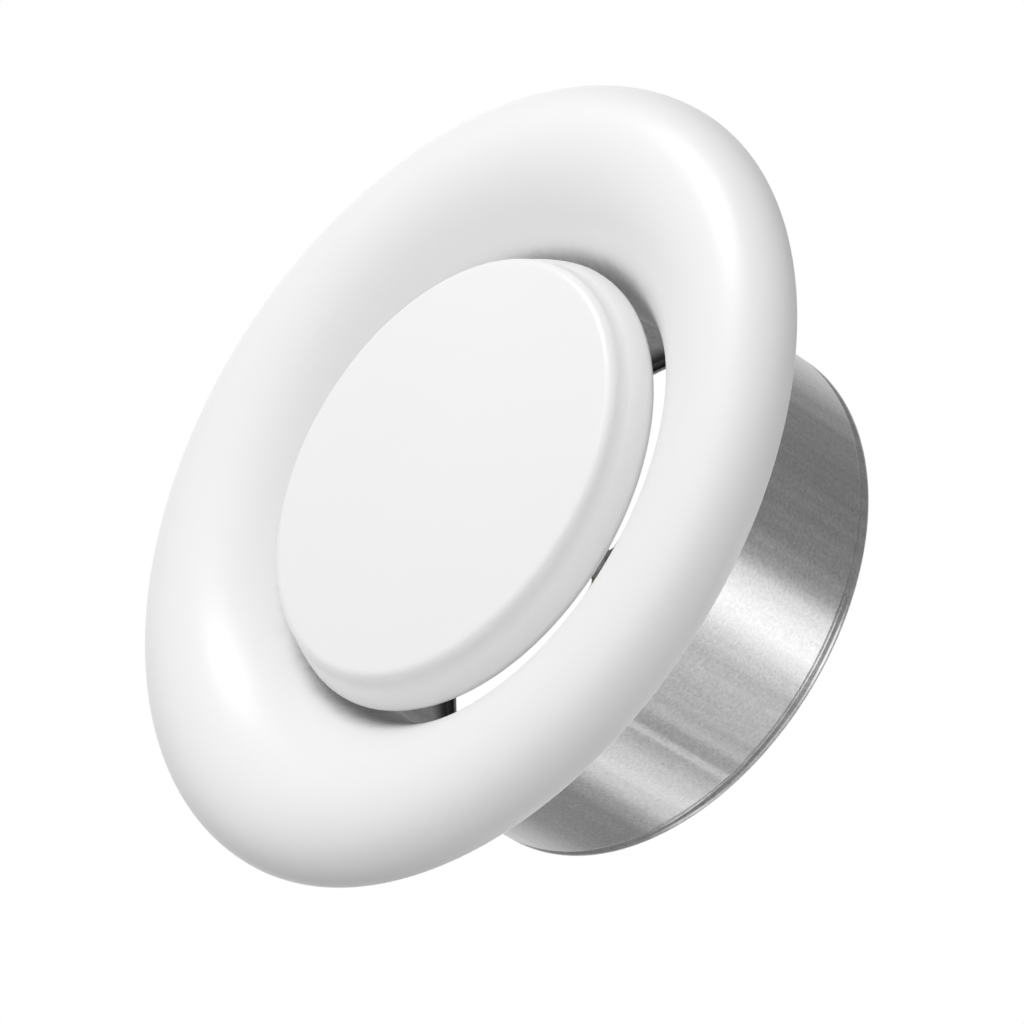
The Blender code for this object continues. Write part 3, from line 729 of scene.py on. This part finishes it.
# %% Turn the collar
collar_low, collar_high = box_mm("mounting_collar")
COLLAR_R = 49.5
COLLAR_WALL = 0.8
COLLAR_LIP = 1.2
FLANGE_BEND = 1.5
SEAM_ANGLE = math.radians(291.0)
SEAM_WIDTH = 5.4 * MM
SEAM_STEP = 0.14 * MM
ROLL_WAVE = 0.12 * MM
BEAD_DEPTH = 0.3 * MM
BEAD_SETBACK = 2.3 * MM
BEAD_REACH = 0.9 * MM
# Painted shade inside the collar: nearly black within this many mm of the rear edge, slightly darker
# elsewhere inside.
PAINTED_SHADE_BAND = 5.5
INSIDE_PAINTED_SHADE = 0.1
LAP_EDGE = 0.7 * MM
TUBE_START = (2.0 * MM, 3.5 * MM)
TUBE_END = (46.2 * MM, 47.8 * MM)
WAVE_SCALE = 2.2
WAVE_ALONG = 12.0
WALL_STEPS = 15
BEAD_STEP = 0.15


def lap_rule(recipe, radius, angle, level):
    """Raises the tube's outer wall over the lap, sinks the bead and adds the waves of rolled sheet."""
    seam_angle = recipe.ask("Seam angle")
    seam_width = recipe.ask("Seam width")
    seam_step = recipe.ask("Seam step")
    wave = recipe.ask("Roll wave")
    across = (angle - seam_angle) * radius
    edge = seam_width * 0.5
    lap = across.calc("ABSOLUTE").ramp(edge - LAP_EDGE, edge, 1.0, 0.0)
    tube = level.ramp(*TUBE_START) * level.ramp(*TUBE_END, 1.0, 0.0)
    outside = radius.calc("GREATER_THAN", (COLLAR_R - COLLAR_WALL / 2) * MM)
    around = [angle.calc("COSINE"), angle.calc("SINE"), level * WAVE_ALONG]
    place = recipe.put("ShaderNodeCombineXYZ", around)
    noise = recipe.put("ShaderNodeTexNoise", {"Vector": place, "Scale": WAVE_SCALE, "Detail": 1.0}, "Fac")
    bead_level = recipe.ask("Bead level")
    bead_depth = recipe.ask("Bead depth")
    bead = (level - bead_level).calc("ABSOLUTE").ramp(0.0, BEAD_REACH, 1.0, 0.0)
    wavy = radius + (noise - 0.5) * wave * tube - bead * bead_depth
    return wavy + lap * tube * outside * seam_step


def collar_section():
    rear = collar_high.z
    outer_r = COLLAR_R
    inner_r = COLLAR_R - COLLAR_WALL
    lip_centre = (outer_r - COLLAR_LIP, rear - COLLAR_LIP)
    bend_centre = (outer_r + FLANGE_BEND, FLANGE_BEND)
    bead_z = rear - BEAD_SETBACK / MM
    run = bead_z - COLLAR_LIP - FLANGE_BEND
    levels = [FLANGE_BEND + run * i / WALL_STEPS for i in range(1, WALL_STEPS + 1)]
    near_bead = [bead_z + step * BEAD_STEP for step in range(-7, 8)]
    levels += [z for z in near_bead if z < rear - COLLAR_LIP]
    outside = arc(bend_centre, (FLANGE_BEND, FLANGE_BEND), 270, 180, 6)
    outside += [(outer_r, z) for z in levels]
    outside += arc(lip_centre, (COLLAR_LIP, COLLAR_LIP), 0, 90, 8)
    lip = COLLAR_LIP - COLLAR_WALL
    inside = arc(lip_centre, (lip, lip), 90, 0, 5)
    inside += [(inner_r, z) for z in levels[::-1]]
    bend = FLANGE_BEND + COLLAR_WALL
    inside += arc(bend_centre, (bend, bend), 180, 270, 6)
    flange_r = collar_high.x
    points = [(flange_r, 0.0)] + outside + inside + [(flange_r, collar_low.z)]
    # On the collar, coat carries painted shade: none outside, a little inside, full in the band near the
    # rear edge.
    coat = [0.0] * (len(outside) + 1)
    coat += [INSIDE_PAINTED_SHADE if z < rear - PAINTED_SHADE_BAND else 1.0 for r, z in inside] + [INSIDE_PAINTED_SHADE]
    return points, coat


lapped = turning_recipe("lapped tube", lap_rule)
points, coat = collar_section()
collar = turn("collar_tube", points, zinc, steps=360, coat=coat, recipe=lapped, Seam_angle=SEAM_ANGLE,
              Seam_width=SEAM_WIDTH, Seam_step=SEAM_STEP, Roll_wave=ROLL_WAVE,
              Bead_level=collar_high.z * MM - BEAD_SETBACK, Bead_depth=BEAD_DEPTH)
report(collar)

# %% [markdown]
# ## Patterns round the axis
# Screw holes, spring clips and rivets repeat at even angles. One tree puts copies of any object on the
# corners of a regular polygon and turns each to face outwards.

# %% The ring pattern


def ring_pattern_recipe():
    recipe = Recipe("ring pattern")
    item = recipe.ask("Item", "Object")
    count = recipe.ask("Count", "Int")
    radius = recipe.ask("Radius")
    first = recipe.ask("First angle")
    copy = recipe.put("GeometryNodeObjectInfo", [item], "Geometry")
    corners = recipe.put("GeometryNodeMeshCircle", {"Vertices": count, "Radius": 1.0}, "Mesh")
    place = recipe.put("GeometryNodeInputPosition")
    parts = recipe.put("ShaderNodeSeparateXYZ", [place], "X")
    angle = parts.also("Y").calc("ARCTAN2", parts) + first
    across, ahead = radius * angle.calc("COSINE"), radius * angle.calc("SINE")
    spot = recipe.put("ShaderNodeCombineXYZ", [across, ahead, 0.0])
    facing = recipe.put("ShaderNodeCombineXYZ", [0.0, 0.0, angle])
    kept = recipe.put("GeometryNodeStoreNamedAttribute",
                      {"Geometry": corners, "Name": "facing", "Value": facing}, data_type="FLOAT_VECTOR")
    moved = recipe.put("GeometryNodeSetPosition", {"Geometry": kept, "Position": spot})
    turned = recipe.put("GeometryNodeInputNamedAttribute", {"Name": "facing"}, data_type="FLOAT_VECTOR")
    sockets = {"Points": moved, "Instance": copy, "Rotation": turned}
    return recipe.serve(recipe.put("GeometryNodeInstanceOnPoints", sockets))


ring_pattern = ring_pattern_recipe()

# %% Drill the collar's flange
HOLE_R = 2.1
HOLE_CIRCLE_R = 54.5


def drill_recipe():
    """Takes one mesh out of another."""
    recipe = Recipe("drilling")
    blank = recipe.put("GeometryNodeObjectInfo", [recipe.ask("Blank", "Object")], "Geometry")
    drills = recipe.put("GeometryNodeObjectInfo", [recipe.ask("Drills", "Object")], "Geometry")
    meshes = {"Mesh 1": blank, "Mesh 2": drills}
    drilled = recipe.put("GeometryNodeMeshBoolean", meshes, "Mesh", operation="DIFFERENCE")
    return recipe.serve(recipe.smooth(drilled))


drill_section = [(0.0, -2.0), (HOLE_R, -2.0), (HOLE_R, 1.0), (0.0, 1.0)]
drill = turn("drill", drill_section, zinc, steps=32)
drills = run_recipe(ring_pattern, "drills", zinc, Item=drill, Count=4, Radius=HOLE_CIRCLE_R * MM,
                    First_angle=math.radians(45.0))
drilled_collar = run_recipe(drill_recipe(), "mounting_collar_sheet", zinc, Blank=collar, Drills=drills)
for spare in (drill, drills, collar):
    bpy.data.objects.remove(spare)
settle(drilled_collar, "collar", "galvanised_steel", "mounting_collar")

# %% [markdown]
# ## The spindle and its thread
# An M6 thread is a groove that climbs one pitch for each turn. As a rule on the turning tree, the
# radius dips with the distance to the nearest crest of the helix. The thread stops before the groove
# of the end clip.

# %% Cut the spindle
spindle_low, spindle_high = box_mm("spindle")
clip_low, clip_high = box_mm("end_stop_clip")
PITCH = 1.0
THREAD_DEPTH = 0.55
ROWS_PER_PITCH = 7
CHAMFER = 0.5
GROOVE_ROOM = 0.3
GROOVE_DEPTH = 0.6
THREAD_RUNOUT = 0.6
CORE_R = 1.5


def thread_rule(recipe, radius, angle, level):
    """A right-hand thread between two levels."""
    pitch = recipe.ask("Pitch")
    depth = recipe.ask("Thread depth")
    low = recipe.ask("Thread low")
    high = recipe.ask("Thread high")
    phase = level / pitch * (2.0 * math.pi) - angle
    dip = (1.0 - phase.calc("COSINE")) * 0.5
    cut_here = level.calc("GREATER_THAN", low) * level.calc("LESS_THAN", high)
    fade = radius.calc("GREATER_THAN", CORE_R * MM)
    return radius - dip * depth * cut_here * fade


def spindle_section():
    radius = spindle_high.x
    low = spindle_low.z
    high = spindle_high.z
    groove_low = clip_low.z - GROOVE_ROOM
    groove_high = clip_high.z + GROOVE_ROOM
    groove_r = radius - GROOVE_DEPTH
    rows = int((groove_low - low - CHAMFER) / PITCH * ROWS_PER_PITCH)
    wall = [(radius, low + CHAMFER + (groove_low - low - CHAMFER) * i / rows) for i in range(rows + 1)]
    groove = [(groove_r, groove_low), (groove_r, groove_high)]
    tail = [(radius, groove_high), (radius, high - CHAMFER), (radius - CHAMFER, high), (0.0, high)]
    return [(0.0, low), (radius - CHAMFER, low)] + wall + groove + tail


threading = turning_recipe("threaded rod", thread_rule)
spindle = turn("threaded_spindle", spindle_section(), plated, steps=36, recipe=threading, Pitch=PITCH * MM,
               Thread_depth=THREAD_DEPTH * MM, Thread_low=(spindle_low.z + CHAMFER) * MM,
               Thread_high=(clip_low.z - THREAD_RUNOUT) * MM)
settle(spindle, "disc", "plated_steel", "spindle")

# %% [markdown]
# ## Nuts
# A nut is a bar with six flats, whose corners are turned down to a cone. The same thing as a rule:
# turn a chamfered barrel, and let no point lie further out than the nearest flat.

# %% Cut the nuts
BORE_CHAMFER = 0.4
SEAT_INSET = 0.2
SEAT_RISE = 0.05


def flats_rule(recipe, radius, angle, level):
    """Limits the radius to a hexagon's flats."""
    half_width = recipe.ask("Across flats") * 0.5
    sector = math.radians(60.0)
    off_flat = (angle + sector / 2).calc("MODULO", sector) - sector / 2
    return radius.calc("MINIMUM", half_width / off_flat.calc("COSINE"))


def nut_section(low, high, corner_r, flat_r):
    """Bore with small chamfers, flat seats, and cones down to the flats."""
    drop = (corner_r - flat_r) * math.tan(math.radians(30.0))
    mouth_r, seat_r = BORE_R + BORE_CHAMFER, flat_r - SEAT_INSET
    lower = [(BORE_R, low + BORE_CHAMFER), (mouth_r, low), (seat_r, low), (flat_r, low + SEAT_RISE)]
    upper = [(flat_r, high - SEAT_RISE), (seat_r, high), (mouth_r, high), (BORE_R, high - BORE_CHAMFER)]
    return lower + [(corner_r, low + drop), (corner_r, high - drop)] + upper


cutting_flats = turning_recipe("nut", flats_rule)
for node, body in (("disc_nut", "disc"), ("lock_nut", "lock_nut")):
    low, high = box_mm(node)
    corner_r = max(high.x, high.y)
    flat_r = corner_r * math.cos(math.radians(30.0))
    nut = turn(node + "_hexagon", nut_section(low.z, high.z, corner_r, flat_r), plated, steps=96,
               recipe=cutting_flats, Across_flats=2 * flat_r * MM)
    settle(nut, body, "plated_steel", node)

# %% [markdown]
# ## Small turned pieces
# The hub, the bush and the washer are short lathe jobs. Their corners are broken by a quarter of a
# millimetre, because a knife-sharp edge catches no light and looks drawn.

# %% Turn the hub, the bush and the washer
hub_low, hub_high = box_mm("disc_hub")
bush_low, bush_high = box_mm("bridge_bush")
washer_low, washer_high = box_mm("lock_washer")
bridge_low, bridge_high = box_mm("bridge")
HUB_FLANGE = 1.2
HUB_R = 5.5
BUSH_SINK = 1.5
BUSH_R = 4.0
BUSH_HEAD = 0.7
BUSH_HEAD_R = (5.2, 5.0)
WASHER_EDGE = 0.2

step_z = hub_low.z + HUB_FLANGE
hub_section = [(BORE_R, hub_low.z), (hub_high.x, hub_low.z), (hub_high.x, step_z), (HUB_R, step_z),
               (HUB_R, hub_high.z), (BORE_R, hub_high.z)]
hub = turn("disc_hub_turned", soften(hub_section), plated, steps=72)
settle(hub, "disc", "plated_steel", "disc_hub")

shoulder_z = bridge_high.z - BUSH_SINK
head_z = bush_high.z - BUSH_HEAD
bush_section = [(BORE_R, bush_low.z), (bush_high.x, bush_low.z), (bush_high.x, shoulder_z),
                (BUSH_R, shoulder_z), (BUSH_R, head_z), (BUSH_HEAD_R[0], head_z),
                (BUSH_HEAD_R[1], bush_high.z), (BORE_R, bush_high.z)]
bush = turn("bridge_bush_turned", soften(bush_section), brass, steps=72)
settle(bush, "housing", "brass", "bridge_bush")

washer_section = [(BORE_R, washer_low.z), (washer_high.x, washer_low.z), (washer_high.x, washer_high.z),
                  (BORE_R, washer_high.z)]
washer = turn("lock_washer_turned", soften(washer_section, WASHER_EDGE), plated, steps=72)
settle(washer, "washer_travel", "plated_steel", "lock_washer")

# %% [markdown]
# ## Straps and leaves
# The bridge and the spring clips are bent from strip. Each is a centreline with round bends, given the
# strip's thickness, drawn out to its width and bevelled at the edges.

# %% Helpers for bent strip


def bent_strip(name, line, thickness, width, finish, bevel=0.18):
    """Draws a strip's section out to its width and breaks its edges. All in mm."""
    bm = bmesh.new()
    half = width / 2
    corners = [bm.verts.new((p.x * MM, -half * MM, p.y * MM)) for p in strip_section(line, thickness)]
    grown = bmesh.ops.extrude_face_region(bm, geom=[bm.faces.new(corners)])
    moved = [item for item in grown["geom"] if isinstance(item, bmesh.types.BMVert)]
    bmesh.ops.translate(bm, verts=moved, vec=(0, width * MM, 0))
    bmesh.ops.recalc_face_normals(bm, faces=bm.faces)
    mesh = bpy.data.meshes.new(name)
    bm.to_mesh(mesh)
    bm.free()
    mesh.materials.append(finish)
    piece = link_object(name, mesh)
    edge = piece.modifiers.new("edge", "BEVEL")
    edge.width = bevel * MM
    edge.segments = 2
    edge.limit_method = "ANGLE"
    edge.angle_limit = math.radians(50.0)
    evaluated = piece.evaluated_get(bpy.context.evaluated_depsgraph_get())
    bevelled = bpy.data.meshes.new_from_object(evaluated)
    piece.modifiers.clear()
    piece.data = bevelled
    bevelled.name = name
    bevelled.shade_smooth()
    bevelled.set_sharp_from_angle(angle=math.radians(35.0))
    return piece


# %% Bend the bridge
STRAP = 1.2
STRAP_BEND = 2.0
FOOT_BEND = 1.0
LEG_ROOM = 0.4


def bridge_line():
    foot_z = bridge_low.z + STRAP / 2
    top_z = bridge_high.z - STRAP / 2
    leg_x = THROAT_R + SHEET + LEG_ROOM + STRAP / 2
    heel = arc((leg_x + FOOT_BEND, foot_z + FOOT_BEND), (FOOT_BEND, FOOT_BEND), 270, 180, 6)
    shoulder = arc((leg_x - STRAP_BEND, top_z - STRAP_BEND), (STRAP_BEND, STRAP_BEND), 0, 90, 8)
    right = [(bridge_high.x, foot_z)] + heel + shoulder
    return right + [(-x, z) for x, z in right[::-1]]


bridge = bent_strip("bridge_strap", bridge_line(), STRAP, bridge_high.y - bridge_low.y, zinc)
settle(bridge, "housing", "galvanised_steel", "bridge")

# %% Bend the spring clips
LEAF = 0.6
LEAF_BEND = 1.2
LEAF_EDGE = 0.12
TOE_ROOM = 0.6
RIVET_ROOM = 0.3
BOW_LEVEL = 8.7
BOW_FALL = 3.6
BOW_STEPS = 24
clip_box_low, clip_box_high = box_mm("spring_clip_1")
leaf_width = clip_box_high.x - clip_box_low.x


def leaf_line():
    """A foot on the neck's flange, a bend, and a bow that reaches the collar and falls back."""
    foot_z = clip_box_low.z + LEAF / 2
    reach = clip_box_high.y - LEAF / 2
    reach_z = clip_box_low.z + BOW_LEVEL
    end_z = clip_box_high.z
    toe = THROAT_R + SHEET + TOE_ROOM
    bend_x = box_mm("clip_rivet_1")[1].y + RIVET_ROOM
    bend = arc((bend_x, foot_z + LEAF_BEND), (LEAF_BEND, LEAF_BEND), 270, 345, 6)
    start_x, start_z = bend[-1]
    bow = []
    for index in range(1, BOW_STEPS + 1):
        z = start_z + (end_z - start_z) * index / BOW_STEPS
        fall = (reach - start_x) / (reach_z - start_z) ** 2
        if z > reach_z:
            fall = BOW_FALL / (end_z - reach_z) ** 2
        bow.append((reach - fall * (z - reach_z) ** 2, z))
    return [(toe, foot_z)] + bend + bow


leaf = bent_strip("leaf", leaf_line(), LEAF, leaf_width, spring, bevel=LEAF_EDGE)
clips = run_recipe(ring_pattern, "spring_clips", spring, Item=leaf, Count=3, Radius=0.0,
                   First_angle=math.radians(90.0))
bpy.data.objects.remove(leaf)
settle(clips, "housing", "spring_steel", "spring_clip_1", "spring_clip_2", "spring_clip_3")

# %% [markdown]
# ## Rivets
# Domed heads hold the bridge's feet and the clips to the neck's flange. One rivet is turned, and trees
# set the copies: four on a rectangle for the bridge, and three round the ring for the clips.

# %% Set the rivets
RIVET_HEAD = 0.8
SHANK_R = 0.9


def rivet_section(node):
    low, high = box_mm(node)
    head_r = (high.x - low.x) / 2
    lower_z, upper_z = low.z + RIVET_HEAD, high.z - RIVET_HEAD
    lower = arc((0.0, lower_z), (head_r, RIVET_HEAD), 270, 360, 8)
    upper = arc((0.0, upper_z), (head_r, RIVET_HEAD), 0, 90, 8)
    return lower + [(SHANK_R, lower_z), (SHANK_R, upper_z)] + upper


def rectangle_recipe():
    """Copies of an item on the four corners of a rectangle."""
    recipe = Recipe("rectangle pattern")
    copy = recipe.put("GeometryNodeObjectInfo", [recipe.ask("Item", "Object")], "Geometry")
    length, width = recipe.ask("Length"), recipe.ask("Width")
    sockets = {"Size X": length, "Size Y": width, "Vertices X": 2, "Vertices Y": 2}
    corners = recipe.put("GeometryNodeMeshGrid", sockets, "Mesh")
    return recipe.serve(recipe.put("GeometryNodeInstanceOnPoints", {"Points": corners, "Instance": copy}))


def middle(node):
    low, high = box_mm(node)
    return (low + high) / 2


bridge_rivet = turn("rivet", rivet_section("bridge_rivet_1"), plated, steps=28)
first = middle("bridge_rivet_1")
bridge_rivets = run_recipe(rectangle_recipe(), "bridge_rivets", plated, Item=bridge_rivet,
                           Length=2 * abs(first.x) * MM, Width=2 * abs(first.y) * MM)
settle(bridge_rivets, "housing", "plated_steel", *[f"bridge_rivet_{i}" for i in range(1, 5)])

clip_rivet = turn("rivet", rivet_section("clip_rivet_1"), plated, steps=28)
clip_rivets = run_recipe(ring_pattern, "clip_rivets", plated, Item=clip_rivet, Count=3,
                         Radius=middle("clip_rivet_1").y * MM, First_angle=math.radians(90.0))
settle(clip_rivets, "housing", "plated_steel", *[f"clip_rivet_{i}" for i in range(1, 4)])
for spare in (bridge_rivet, clip_rivet):
    bpy.data.objects.remove(spare)

# %% [markdown]
# ## The foam gasket
# A ring of closed-cell foam sits in the hollow of the rim and seals it against the ceiling. Its own
# outline is simple: flat where it meets the ceiling, curved where it fills the rolled rim.

# %% Turn the gasket
gasket_low, gasket_high = box_mm("rim_gasket")
GASKET_W = 7.5
GASKET_ROOM = 0.3


def gasket_section():
    centre = (CREST_R, RIM_Z)
    radii = (RIM_R - CREST_R - SHEET - GASKET_ROOM, RIM_Z - CREST_Z - SHEET - GASKET_ROOM)
    outer_r = gasket_high.x
    inner_r = outer_r - GASKET_W
    start = math.degrees(math.acos((outer_r - centre[0]) / radii[0]))
    end = math.degrees(math.acos((inner_r - centre[0]) / radii[0]))
    return [(inner_r, 0.0), (outer_r, 0.0)] + arc(centre, radii, -start, -end, 12)


gasket = turn("rim_gasket_foam", gasket_section(), foam, steps=144)
settle(gasket, "housing", "grey_foam", "rim_gasket")

# %% [markdown]
# ## What stays from the CAD frame
# The end clip's stamped shape is right as it is, so it keeps its CAD mesh and only gets its finish.

# %% Finish the end clip
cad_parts["end_stop_clip"].data.materials.clear()
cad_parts["end_stop_clip"].data.materials.append(spring)
